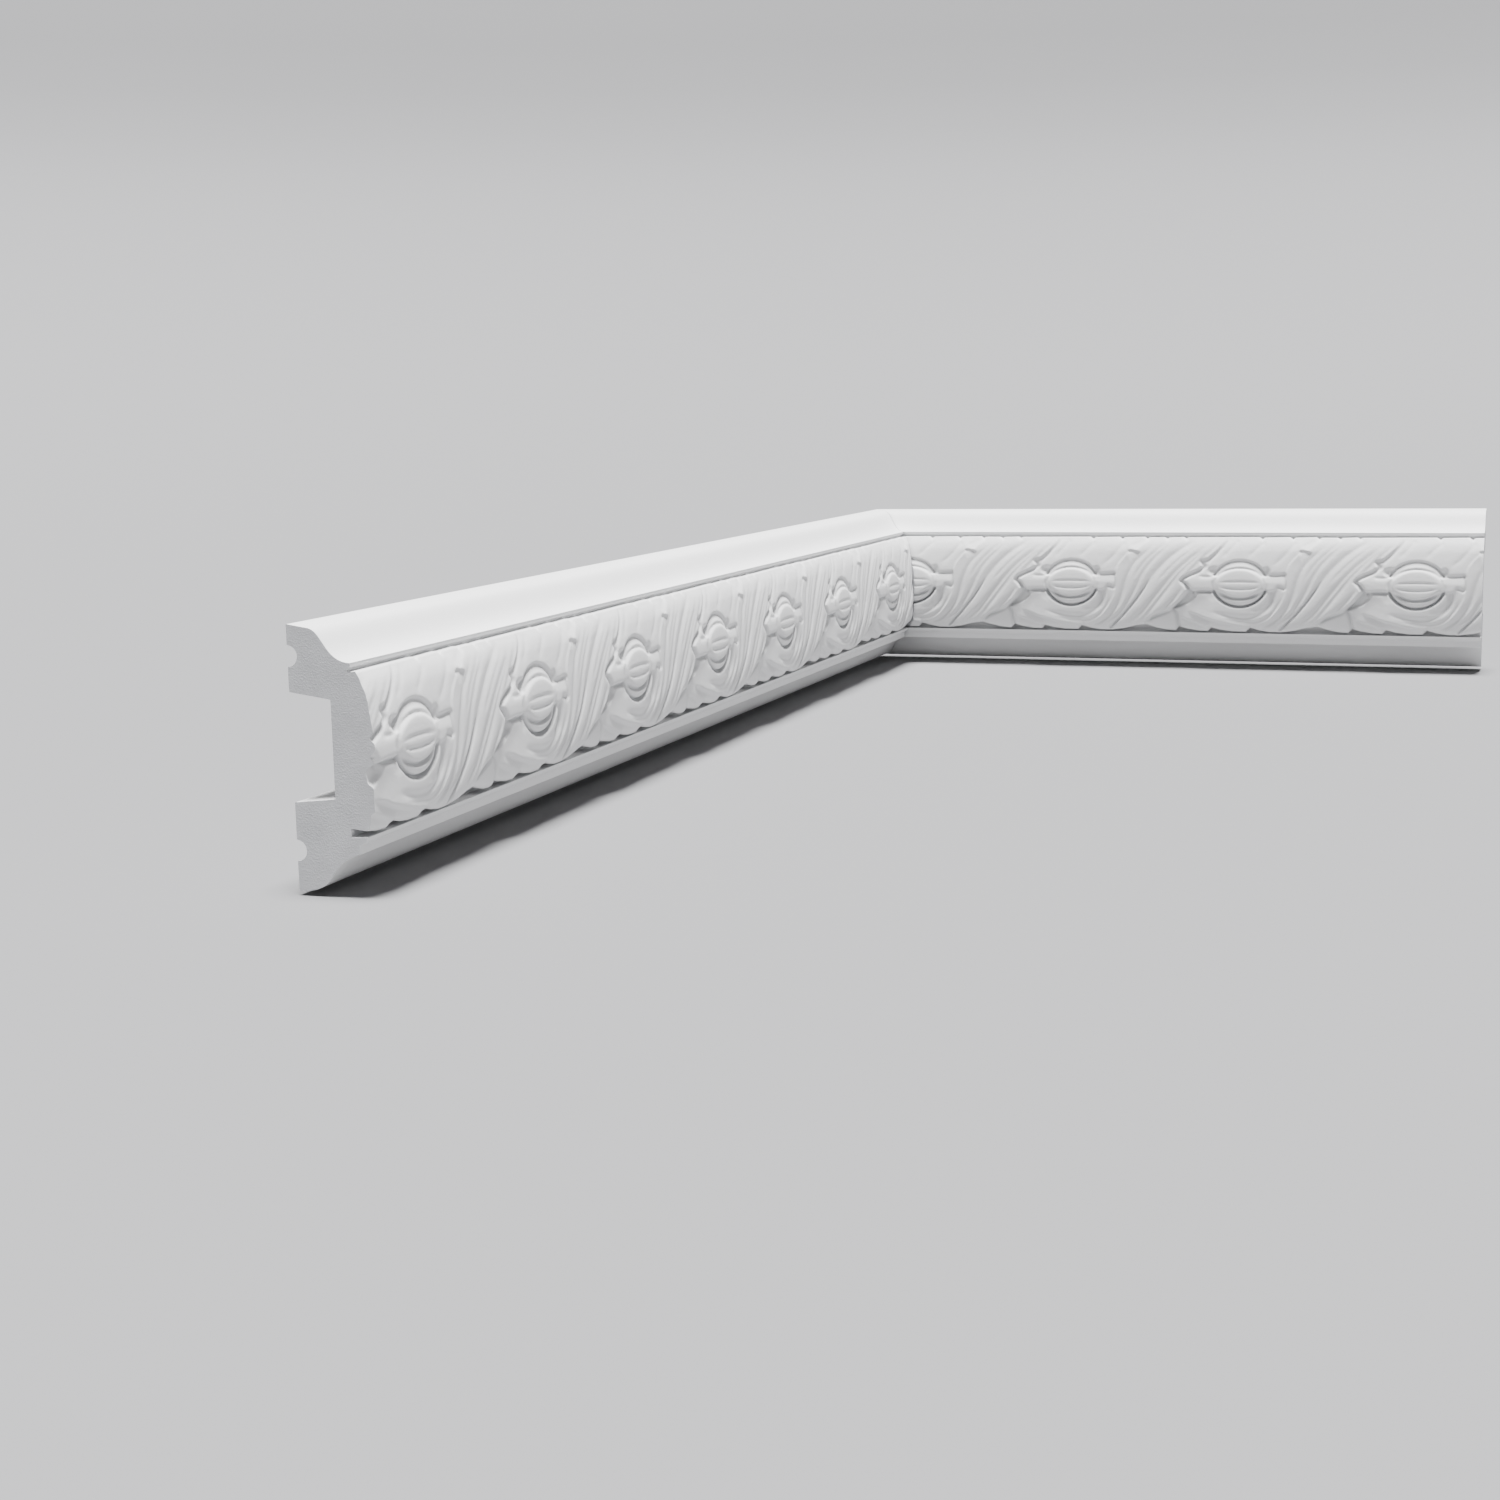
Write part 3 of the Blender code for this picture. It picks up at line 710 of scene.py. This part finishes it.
def one_repeat(columns, row_gap):
    """Rows of height and depth over one repeat, bottom to top, closed to the plain mouldings."""
    u = np.arange(columns) * REPEAT / columns
    levels = np.linspace(FIRST_ROW, LAST_ROW, int(round((LAST_ROW - FIRST_ROW) / row_gap)) + 1)
    bottom = cornered_value(u, BOTTOM_EDGE, REPEAT) + BOTTOM_SHIFT
    top = cornered_value(u, TOP_EDGE, REPEAT)
    near_bottom = np.clip(1.0 - (levels - FIRST_ROW) / EDGE_PULL, 0.0, 1.0)[:, None]
    near_top = np.clip(1.0 - (LAST_ROW - levels) / EDGE_PULL, 0.0, 1.0)[:, None]
    height = levels[:, None] + (bottom - FIRST_ROW) * near_bottom + (top - LAST_ROW) * near_top
    depth = soften(relief(np.broadcast_to(u, height.shape), height), REPEAT / columns)
    face = depth - TUCK * np.exp(-(height - bottom) / TUCK_REACH)
    under = np.stack([np.full(columns, RECESS[0]), 0.5 * (face[0] + RECESS[0])])
    under_height = np.stack([height[0] + step for step in RECESS_STEPS])
    over = np.stack([np.full(columns, UPPER_FILLET_DEPTH - sink) for sink in UPPER_GAP_SINKS])
    gap_heights = [np.full(columns, level) for level in UPPER_GAP_HEIGHTS]
    over_height = np.stack([height[-1] - UPPER_GAP_STEP] + gap_heights)
    return np.vstack([under_height, height, over_height]), np.vstack([under, face, over])


heights, depths = one_repeat(columns=48, row_gap=2.0)
print("a coarse repeat:", heights.shape, "depths", np.round([depths.min(), depths.max()], 1))

# %% [markdown]
# The plain mouldings
#
# Above the leaves is a fillet and a cyma, below them a ledge, a fillet and a hollow ogee that
# returns to the wall. The back is flat, with two half-round grooves for adhesive and a shallow
# channel. These run straight, so each is one long strip per step of the profile. Their arrises
# are eased by a third of a millimetre, which gives each one its thin line of light.

# %% Sizes of the plain mouldings
CYMA = ((29.6, 98.9), (17.2, 99.3), (17.4, 112.9), (9.5, 113.4))
OGEE = ((2.0, 0.0), (20.5, 0.6), (13.5, 13.2), (30.3, 17.1))
LOWER_FILLET_TOP = 21.1
LEDGE = ((33.4, 22.9), (34.6, 24.9))
GLUE_RADIUS = 4.7
GLUE_HEIGHTS = (101.2, 17.6)
GLUE_STEPS = 8
CHANNEL = ((0.0, 85.9), (19.7, 83.2), (19.7, 40.6), (0.0, 38.5))
print("the back channel is", round(CHANNEL[1][0], 1), "mm deep")

# %% Draw the profile
CURVE_STEPS = 20
EASING = 0.35
EASING_SHARE = 0.3
GENTLE_BEND = math.radians(155.0)


def bezier(points, steps):
    """Points on a cubic curve between its first and last point."""
    p = np.array(points, float)
    t = np.linspace(0.0, 1.0, steps + 1)[:, None]
    s = 1.0 - t
    curve = s ** 3 * p[0] + 3 * s * s * t * p[1] + 3 * s * t * t * p[2] + t ** 3 * p[3]
    return [tuple(q) for q in curve]


def eased(points):
    """Round each arris of a profile off with three points, and leave the gentle bends alone."""
    result = [points[0]]
    for before, here, after in zip(points[:-2], points[1:-1], points[2:]):
        back = Vector(before) - Vector(here)
        forward = Vector(after) - Vector(here)
        if back.angle(forward) > GENTLE_BEND:
            result.append(here)
            continue
        reach = min(EASING, EASING_SHARE * back.length, EASING_SHARE * forward.length)
        start = Vector(here) + back.normalized() * reach
        end = Vector(here) + forward.normalized() * reach
        middle = 0.25 * start + 0.5 * Vector(here) + 0.25 * end
        result += [tuple(start), tuple(middle), tuple(end)]
    return result + [points[-1]]


def plain_profile():
    """The plain part of the section, from the frieze's top round the back to its bottom."""
    points = bezier(CYMA, CURVE_STEPS) + [(0.0, HEIGHT)]
    for centre in GLUE_HEIGHTS:
        if centre < CHANNEL[-1][1]:
            points += list(CHANNEL)
        for step in range(GLUE_STEPS + 1):
            angle = math.pi * step / GLUE_STEPS
            points.append((GLUE_RADIUS * math.sin(angle), centre + GLUE_RADIUS * math.cos(angle)))
    points += [(0.0, 0.0)] + bezier(OGEE, CURVE_STEPS)
    points += [(OGEE[3][0], LOWER_FILLET_TOP)] + list(LEDGE) + [RECESS]
    return eased(points)


print("points round the plain profile:", len(plain_profile()))

# %% [markdown]
# Casting one length
#
# One repeat is carved once and then laid end to end, as the maker's mould does. The rows become
# a sheet of quads, and the plain strips close the section round the back. The length runs a
# little long and is then sawn: square at its free end and at 45 degrees at the corner. Closing
# each saw cut with one flat face shows the solid foam, so it gets a finish of its own.


# %% Helpers that build a length
def place_left(along, depth, height):
    """The left length runs along Y, with its back on the plane X = 0."""
    return np.stack([depth, along, height], axis=-1)


def place_right(along, depth, height):
    """The right length runs along X, with its back on the plane Y = 0."""
    return np.stack([along, -depth, height], axis=-1)


def section_mesh(pod, first, last, place, columns, row_gap):
    """Vertices and faces of the running section, a cell longer than the length at each end."""
    height, depth = one_repeat(columns, row_gap)
    cell = REPEAT / columns
    steps = np.arange(math.floor((first - pod) / cell) - 1, math.ceil((last - pod) / cell) + 2)
    along = np.broadcast_to(pod + steps * cell, (len(height), len(steps)))
    pick = np.mod(steps, columns)
    sheet = place(along, depth[:, pick], height[:, pick]).reshape(-1, 3)
    rows, wide = along.shape
    corner = (np.arange(rows - 1)[:, None] * wide + np.arange(wide - 1)).ravel()
    quads = np.stack([corner, corner + 1, corner + wide + 1, corner + wide], 1)
    faces = [tuple(quad) for quad in quads.tolist()]
    profile = np.array(plain_profile())
    ends = np.array([along[0, 0], along[0, -1]])
    edge_along = np.broadcast_to(ends, (len(profile), 2))
    strip = place(edge_along, *[np.repeat(profile[:, k:k + 1], 2, axis=1) for k in (0, 1)])
    base = len(sheet)
    last_base = base + 2 * (len(profile) - 1)
    faces += [(k, k + 1, k + 3, k + 2) for k in range(base, last_base, 2)]
    top_row = list(range((rows - 1) * wide, rows * wide))
    faces.append(tuple(top_row + [base + 1, base]))
    faces.append(tuple(list(range(wide))[::-1] + [last_base, last_base + 1]))
    return np.vstack([sheet, strip.reshape(-1, 3)]), faces


vertices, polygons = section_mesh(0.0, 0.0, REPEAT, place_right, columns=48, row_gap=2.0)
print("a coarse sample has", len(vertices), "vertices and", len(polygons), "faces")

# %% Saw an end
SAW_TOLERANCE = 1e-4
SAWN_FINISH = 1


def saw(mesh, point, normal):
    """Cut off what lies beyond a plane, and close the cut with one flat face of sawn foam."""
    geometry = mesh.verts[:] + mesh.edges[:] + mesh.faces[:]
    cut = bmesh.ops.bisect_plane(mesh, geom=geometry, dist=SAW_TOLERANCE, plane_co=point,
                                 plane_no=normal, clear_outer=True)
    rim = [item for item in cut["geom_cut"] if isinstance(item, bmesh.types.BMEdge)]
    closed = bmesh.ops.holes_fill(mesh, edges=rim, sides=0)
    for face in closed["faces"]:
        face.material_index = SAWN_FINISH


print("a sawn face takes finish number", SAWN_FINISH)

# %% [markdown]
# Which edges stay sharp
#
# Smooth shading suits the carving, where every edge is soft. The arrises of the plain mouldings
# and the saw cuts stay crisp, so an edge is marked sharp only where a long or a sawn face turns.

# %% Cast and saw a length
SHARP_TURN = math.radians(28.0)
LONG_FACE = 60.0


def keep_arrises(mesh):
    """Mark the edges that turn sharply beside a sawn face or a long plain strip."""
    for edge in mesh.edges:
        if len(edge.link_faces) != 2:
            continue
        sawn = any(face.material_index == SAWN_FINISH for face in edge.link_faces)
        long_edge = edge.calc_length() > LONG_FACE
        if (sawn or long_edge) and edge.calc_face_angle() > SHARP_TURN:
            edge.smooth = False


def cast_length(name, pod, first, last, place, saws, columns, row_gap):
    """Cast a length, saw its ends and put it in the place of its plain CAD solid."""
    points, faces = section_mesh(pod, first, last, place, columns, row_gap)
    data = bpy.data.meshes.new(name)
    data.from_pydata(points.tolist(), [], faces)
    mesh = bmesh.new()
    mesh.from_mesh(data)
    for point, normal in saws:
        saw(mesh, Vector(point), Vector(normal).normalized())
    bmesh.ops.recalc_face_normals(mesh, faces=mesh.faces[:])
    for face in mesh.faces:
        face.smooth = True
    keep_arrises(mesh)
    bmesh.ops.translate(mesh, verts=mesh.verts[:], vec=-ORIGIN)
    bmesh.ops.scale(mesh, verts=mesh.verts[:], vec=(METRES, METRES, METRES))
    mesh.to_mesh(data)
    mesh.free()
    length = bpy.data.objects.new(name, data)
    bpy.context.scene.collection.objects.link(length)
    triangles = sum(len(face.vertices) - 2 for face in data.polygons)
    print(name, "has", triangles, "triangles")
    return length


# %% [markdown]
# How fine each mesh is
#
# The right length is seen square on, so it gets 200 columns to a repeat. The left one is longer and
# seen at a slant, so fewer and larger cells look the same on it and keep its mesh light.

# %% Cast both lengths
HALF_GAP = 0.5 * MITRE_GAP * math.sqrt(2.0)
LEFT_SAWS = (((0, -LEFT_LENGTH, 0), (0, -1, 0)), ((-HALF_GAP, 0, 0), (1, 1, 0)))
RIGHT_SAWS = (((RIGHT_LENGTH, 0, 0), (1, 0, 0)), ((HALF_GAP, 0, 0), (-1, -1, 0)))
LEFT_CELLS = {"columns": 144, "row_gap": 0.78}
RIGHT_CELLS = {"columns": 200, "row_gap": 0.58}
left = cast_length("left_length_carved", LEFT_POD, -LEFT_LENGTH, 0.0, place_left, LEFT_SAWS,
                   **LEFT_CELLS)
right = cast_length("right_length_carved", RIGHT_POD, 0.0, RIGHT_LENGTH, place_right, RIGHT_SAWS,
                    **RIGHT_CELLS)
print("both lengths cast and sawn:", left.name, right.name)

# %% [markdown]
# White primer
#
# The makers spray the foam with a thin matt primer. From a step away it is plain white. Close to,
# it has the fine stipple of the spray over the soft pores of the foam. The grooves are greyed with
# painted shade: an occlusion node finds them, and the colour turns darker there. One noise clouds
# the colour, one changes the roughness and dents the pores, and a finer one dents the stipple.


# %% Helpers for materials
def new_material(name):
    """A material with its shader, its nodes, its links and a coordinate fixed to the object."""
    material = bpy.data.materials.new(name)
    material.use_nodes = True
    nodes = material.node_tree.nodes
    shader = nodes["Principled BSDF"]
    place = nodes.new("ShaderNodeTexCoord").outputs["Object"]
    return material, shader, nodes, material.node_tree.links, place


def noise(nodes, links, place, scale, detail, roughness=0.5):
    """A noise whose grains are one over scale metres wide."""
    node = nodes.new("ShaderNodeTexNoise")
    node.inputs["Scale"].default_value = scale
    node.inputs["Detail"].default_value = detail
    node.inputs["Roughness"].default_value = roughness
    links.new(place, node.inputs["Vector"])
    return node.outputs["Fac"]


def shades(nodes, links, factor, first, second, low, high):
    """Two shades of a finish, mixed by a factor."""
    node = nodes.new("ShaderNodeValToRGB")
    node.color_ramp.elements[0].position = low
    node.color_ramp.elements[0].color = (*first, 1.0)
    node.color_ramp.elements[1].position = high
    node.color_ramp.elements[1].color = (*second, 1.0)
    links.new(factor, node.inputs["Fac"])
    return node.outputs["Color"]


def spread(nodes, links, factor, low, high):
    """Turn a factor into a number between low and high."""
    node = nodes.new("ShaderNodeMapRange")
    node.inputs["To Min"].default_value = low
    node.inputs["To Max"].default_value = high
    links.new(factor, node.inputs["Value"])
    return node.outputs["Result"]


def dent(nodes, links, factor, strength, distance, under=None):
    """A bump of a real height in metres, over another one if there is one."""
    node = nodes.new("ShaderNodeBump")
    node.inputs["Strength"].default_value = strength
    node.inputs["Distance"].default_value = distance
    links.new(factor, node.inputs["Height"])
    if under is not None:
        links.new(under, node.inputs["Normal"])
    return node.outputs["Normal"]


print("materials so far:", len(bpy.data.materials))

# %% Sizes and shades of the primer
CLOUDS = (34.0, 4.0)
STIPPLE = (1400.0, 3.0, 0.6)
SOFT_PORES = (420.0, 4.0)
SHADE_REACH = 0.004
SHADE_SAMPLES = 8
CLOUD_TONE = (0.94, 1.0)
# The darker grey is painted shade for the grooves; the lighter one is the primer's own white.
PAINTED_GROOVE_SHADE = (0.50, 0.505, 0.515)
PRIMER_WHITE = (0.80, 0.80, 0.80)
SHADE_RAMP = (0.25, 0.95)
PRIMER_ROUGHNESS = (0.52, 0.68)
PRIMER_SPECULAR = 0.35
PORE_DENT = (0.35, 0.0003)
STIPPLE_DENT = (0.25, 0.0001)
print("the stipple's grains are", round(1000.0 / STIPPLE[0], 2), "mm wide")


# %% Make the primer
def painted_shade_and_clouds(nodes, links, place):
    """Painted shade in the grooves, found by occlusion, times a few faint clouds of tone."""
    # Painted shade: the occlusion node finds the grooves and hollows, which are then coloured
    # darker.
    open_air = nodes.new("ShaderNodeAmbientOcclusion")
    open_air.samples = SHADE_SAMPLES
    open_air.inputs["Distance"].default_value = SHADE_REACH
    clouds = spread(nodes, links, noise(nodes, links, place, *CLOUDS), *CLOUD_TONE)
    shade_and_clouds = nodes.new("ShaderNodeMath")
    shade_and_clouds.operation = "MULTIPLY"
    links.new(open_air.outputs["AO"], shade_and_clouds.inputs[0])
    links.new(clouds, shade_and_clouds.inputs[1])
    return shade_and_clouds.outputs["Value"]


def white_primer():
    """Sprayed matt primer over foam, with painted shade in its grooves."""
    material, shader, nodes, links, place = new_material("white_primer")
    shade_and_clouds = painted_shade_and_clouds(nodes, links, place)
    stipple = noise(nodes, links, place, *STIPPLE)
    soft_pores = noise(nodes, links, place, *SOFT_PORES)
    # Painted shade: where occlusion is low, the colour runs to the darker grey.
    colour = shades(nodes, links, shade_and_clouds, PAINTED_GROOVE_SHADE, PRIMER_WHITE, *SHADE_RAMP)
    links.new(colour, shader.inputs["Base Color"])
    roughness = spread(nodes, links, soft_pores, *PRIMER_ROUGHNESS)
    links.new(roughness, shader.inputs["Roughness"])
    shader.inputs["Specular IOR Level"].default_value = PRIMER_SPECULAR
    pores = dent(nodes, links, soft_pores, *PORE_DENT)
    links.new(dent(nodes, links, stipple, *STIPPLE_DENT, pores), shader.inputs["Normal"])
    return material


primer = white_primer()
print("primer nodes:", len(primer.node_tree.nodes))

# %% [markdown]
# Sawn foam
#
# Where the length is sawn, the closed cells of the foam are cut open. The face is duller and a
# little greyer than the primer, with pores finer than a millimetre and the faint straight
# scratches of the saw. Voronoi cells give the pores, and a stretched noise gives the scratches.

# %% Make the sawn foam
CELL_SCALE = 1500.0
SCRATCH_STRETCH = (60.0, 60.0, 1800.0)
SCRATCHES = (1.0, 2.0)
FOAM_TONE = (90.0, 5.0)
DARK_FOAM = (0.53, 0.535, 0.55)
LIGHT_FOAM = (0.60, 0.605, 0.62)
FOAM_RANGE = (0.3, 0.7)
FOAM_ROUGHNESS = 0.85
FOAM_SPECULAR = 0.2
CELL_DENT = (0.5, 0.0002)
SCRATCH_DENT = (0.3, 0.0001)


def sawn_foam():
    """Foam cut open by a fine saw."""
    material, shader, nodes, links, place = new_material("sawn_foam")
    cells = nodes.new("ShaderNodeTexVoronoi")
    cells.inputs["Scale"].default_value = CELL_SCALE
    links.new(place, cells.inputs["Vector"])
    stretch = nodes.new("ShaderNodeMapping")
    stretch.inputs["Scale"].default_value = SCRATCH_STRETCH
    links.new(place, stretch.inputs["Vector"])
    scratches = noise(nodes, links, stretch.outputs["Vector"], *SCRATCHES)
    tone = noise(nodes, links, place, *FOAM_TONE)
    colour = shades(nodes, links, tone, DARK_FOAM, LIGHT_FOAM, *FOAM_RANGE)
    links.new(colour, shader.inputs["Base Color"])
    shader.inputs["Roughness"].default_value = FOAM_ROUGHNESS
    shader.inputs["Specular IOR Level"].default_value = FOAM_SPECULAR
    pores = dent(nodes, links, cells.outputs["Distance"], *CELL_DENT)
    links.new(dent(nodes, links, scratches, *SCRATCH_DENT, pores), shader.inputs["Normal"])
    return material


foam = sawn_foam()
print("foam nodes:", len(foam.node_tree.nodes))

# %% [markdown]
# Dress the lengths
#
# Each carved length takes both finishes, stands for its CAD node, and rides on the one body of a
# part that has no joints.

# %% Put the finishes on and replace the CAD
for length, node in ((left, "left_length"), (right, "right_length")):
    length.data.materials.append(primer)
    length.data.materials.append(foam)
    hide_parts(node)
    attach(length, "root")
print("dressed:", left.name, right.name)

# %% [markdown]
# Floor and backdrop
#
# A plain pale floor lies just under the moulding and rises into a backdrop far away on every
# side, like a very wide bowl, so no view of the part shows a hard horizon. A sheet bent round by
# hand would do for one view, but turning one outline round the middle serves them all.

# %% Turn the floor
BOWL = ((0.0, 0.0), (3.0, 0.0), (5.5, 0.1), (7.5, 0.45), (9.0, 1.2), (9.8, 2.3))
BOWL_STEPS = 5
BOWL_SIDES = 64
FLOOR_GAP = 0.0005
floor_level = cad_box[0][2] - FLOOR_GAP
outline = freehand(BOWL, BOWL_STEPS)
angles = [2.0 * math.pi * side / BOWL_SIDES for side in range(BOWL_SIDES)]
floor_mesh = bmesh.new()
rings = []
for reach, rise in outline[1:]:
    places = [(reach * math.cos(a), reach * math.sin(a), floor_level + rise) for a in angles]
    rings.append([floor_mesh.verts.new(place) for place in places])
floor_mesh.faces.new(rings[0])
for inner, outer in zip(rings[:-1], rings[1:]):
    for side in range(BOWL_SIDES):
        after = (side + 1) % BOWL_SIDES
        quad = (inner[side], outer[side], outer[after], inner[after])
        floor_mesh.faces.new(quad).smooth = True
floor_data = bpy.data.meshes.new("studio_floor")
floor_mesh.to_mesh(floor_data)
floor_mesh.free()
floor = bpy.data.objects.new("studio_floor", floor_data)
bpy.context.scene.collection.objects.link(floor)
print("floor at", round(floor_level, 4))

# %% Colour the floor and the world
FLOOR_COLOUR = (0.20, 0.20, 0.205, 1.0)
FLOOR_ROUGHNESS = 0.9
SKY_COLOUR = (0.93, 0.95, 1.0, 1.0)
SKY_STRENGTH = 0.06
pale = bpy.data.materials.new("pale_floor")
pale.use_nodes = True
pale_shader = pale.node_tree.nodes["Principled BSDF"]
pale_shader.inputs["Base Color"].default_value = FLOOR_COLOUR
pale_shader.inputs["Roughness"].default_value = FLOOR_ROUGHNESS
floor_data.materials.append(pale)
world = bpy.data.worlds.new("studio_world")
world.use_nodes = True
sky = world.node_tree.nodes["Background"]
sky.inputs["Color"].default_value = SKY_COLOUR
sky.inputs["Strength"].default_value = SKY_STRENGTH
bpy.context.scene.world = world
print("floor and world coloured:", pale.name, world.name)

# %% [markdown]
# Light
#
# In the picture the tops of the forms are bright, and the undersides and the hollows are in shade.
# So a strong light stands straight above and rakes down both lengths alike. A weak one from the
# right lights the left length, and a weaker one, low in front, lifts the undersides. Each is a far
# light with a wide disc, which gives the same soft shadows along the whole part.

# %% Hang the lights
LIGHTS = (
    ("key_light", (0.92, 0.20, 0.16), 0.9, 10.0),
    ("low_light", (0.30, -0.90, 0.03), 0.3, 30.0),
    ("top_light", (0.04, -0.05, 1.0), 16.0, 20.0),
)
for name, towards, strength, disc in LIGHTS:
    light_data = bpy.data.lights.new(name, "SUN")
    light_data.energy = strength
    light_data.angle = math.radians(disc)
    light = bpy.data.objects.new(name, light_data)
    light.rotation_euler = Vector(towards).to_track_quat("Z", "Y").to_euler()
    bpy.context.scene.collection.objects.link(light)
    print(name, "shines from", towards, "at", strength)

# %% [markdown]
# Camera
#
# The picture looks down into the corner from the right. The camera's place and turn were worked
# out from the straight edges of the moulding, its sawn end and its repeat, and its lens has no
# shift, so every other view is framed in the same way.

# %% Place the camera
LENS = 53.14
SENSOR = 36.0
YAW = 0.3450
PITCH = 0.1592
ROLL = -0.0196
EYE_POINT = Vector((0.4971, -1.2505, 0.1760))

ahead = math.cos(PITCH)
forward = Vector((-math.sin(YAW) * ahead, math.cos(YAW) * ahead, -math.sin(PITCH)))
level_right = Vector((math.cos(YAW), math.sin(YAW), 0.0))
level_up = level_right.cross(forward)
camera_right = math.cos(ROLL) * level_right + math.sin(ROLL) * level_up
camera_up = math.cos(ROLL) * level_up - math.sin(ROLL) * level_right
turn = Matrix((camera_right, camera_up, -forward)).transposed().to_4x4()
camera_data = bpy.data.cameras.new("camera")
camera_data.lens = LENS
camera_data.sensor_width = SENSOR
camera = bpy.data.objects.new("camera", camera_data)
camera.matrix_world = Matrix.Translation(EYE_POINT) @ turn
bpy.context.scene.collection.objects.link(camera)
bpy.context.scene.camera = camera
print("camera looks along", [round(value, 3) for value in forward])
